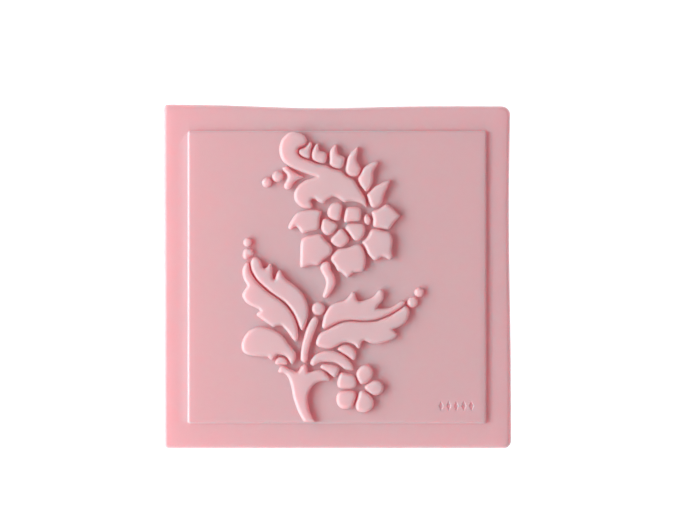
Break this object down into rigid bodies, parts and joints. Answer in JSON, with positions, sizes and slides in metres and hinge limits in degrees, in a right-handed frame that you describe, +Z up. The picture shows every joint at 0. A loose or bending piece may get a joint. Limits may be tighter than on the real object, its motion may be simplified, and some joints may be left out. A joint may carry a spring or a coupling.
{
  "type": "silicone soap mould plate",
  "caption": "Square pink silicone relief plate for soap making: a flat slab with a ledge all round and a raised panel that carries a flowering branch in relief.",
  "frame": {"origin": "middle of the underside of the slab", "axes": "+Z up out of the relief, +X to the right and +Y to the top of the branch as it is looked at"},
  "size_m": [0.0872, 0.0862, 0.0086],
  "materials": {
    "silicone": "translucent pale pink casting silicone, satin"
  },
  "bodies": {
    "root": {"base_slab": "silicone", "raised_panel": "silicone", "crest_leaf": "silicone", "crest_tip_1": "silicone", "crest_tip_2": "silicone", "crest_tip_3": "silicone", "crest_tip_4": "silicone", "crest_tip_5": "silicone", "crest_tip_6": "silicone", "sepal": "silicone", "sepal_bead_inner": "silicone", "sepal_bead_outer": "silicone", "bloom_outer_petal_1": "silicone", "bloom_outer_petal_2": "silicone", "bloom_outer_petal_3": "silicone", "bloom_outer_petal_4": "silicone", "bloom_outer_petal_5": "silicone", "bloom_inner_petal_1": "silicone", "bloom_inner_petal_2": "silicone", "bloom_inner_petal_3": "silicone", "bloom_inner_petal_4": "silicone", "bloom_inner_petal_5": "silicone", "bloom_seed": "silicone", "bloom_stem": "silicone", "stem_bead": "silicone", "main_stem": "silicone", "left_leaf_outer": "silicone", "left_leaf_inner": "silicone", "left_leaf_bead_upper": "silicone", "left_leaf_bead_lower": "silicone", "right_leaf_upper": "silicone", "right_leaf_lower": "silicone", "right_leaf_bead_inner": "silicone", "right_leaf_bead_outer": "silicone", "bud": "silicone", "bud_bead": "silicone", "trunk": "silicone", "root_crescent": "silicone", "root_sickle": "silicone", "root_wedge": "silicone", "blossom_petal_1": "silicone", "blossom_petal_2": "silicone", "blossom_petal_3": "silicone", "blossom_petal_4": "silicone", "blossom_petal_5": "silicone"}
  },
  "joints": []
}
